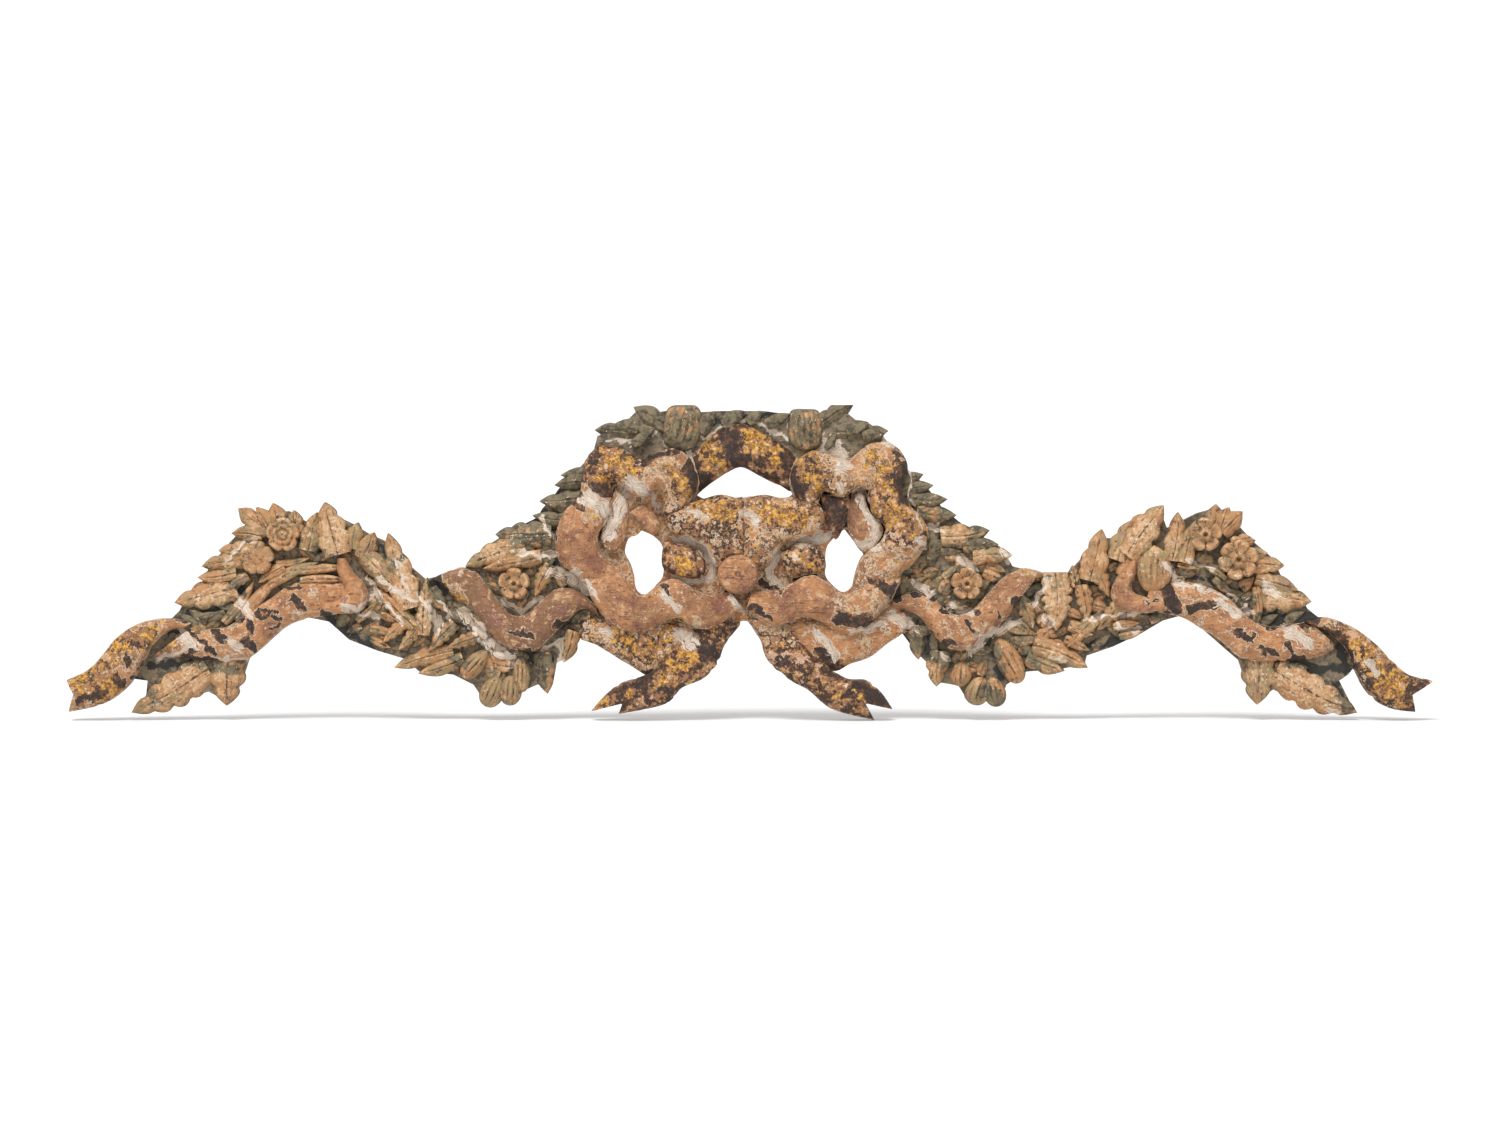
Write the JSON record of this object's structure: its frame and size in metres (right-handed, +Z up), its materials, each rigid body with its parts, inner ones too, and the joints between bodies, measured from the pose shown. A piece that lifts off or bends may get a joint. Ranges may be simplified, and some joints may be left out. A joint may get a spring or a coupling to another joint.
{
  "type": "carved wall ornament",
  "caption": "Carved and gilded wooden wall crest: a ribbon bow over a garland of leaves, flowers and pods, with waving ribbon ends and a flat back that fixes to the wall.",
  "frame": {"origin": "on the flat back, behind the button at the middle of the bow, where the board meets the wall", "axes": "+X along the length, to the right of someone facing the carving; +Z up; -Y out of the carved face towards the room, so +Y goes into the wall"},
  "size_m": [1.362, 0.047, 0.3142],
  "materials": {
    "gilded_wood": "worn water gilding on dark bole and gesso, bare wood on the high parts, thin olive paint on the leaves"
  },
  "bodies": {
    "root": {"carved_crest": "gilded_wood"}
  },
  "joints": []
}
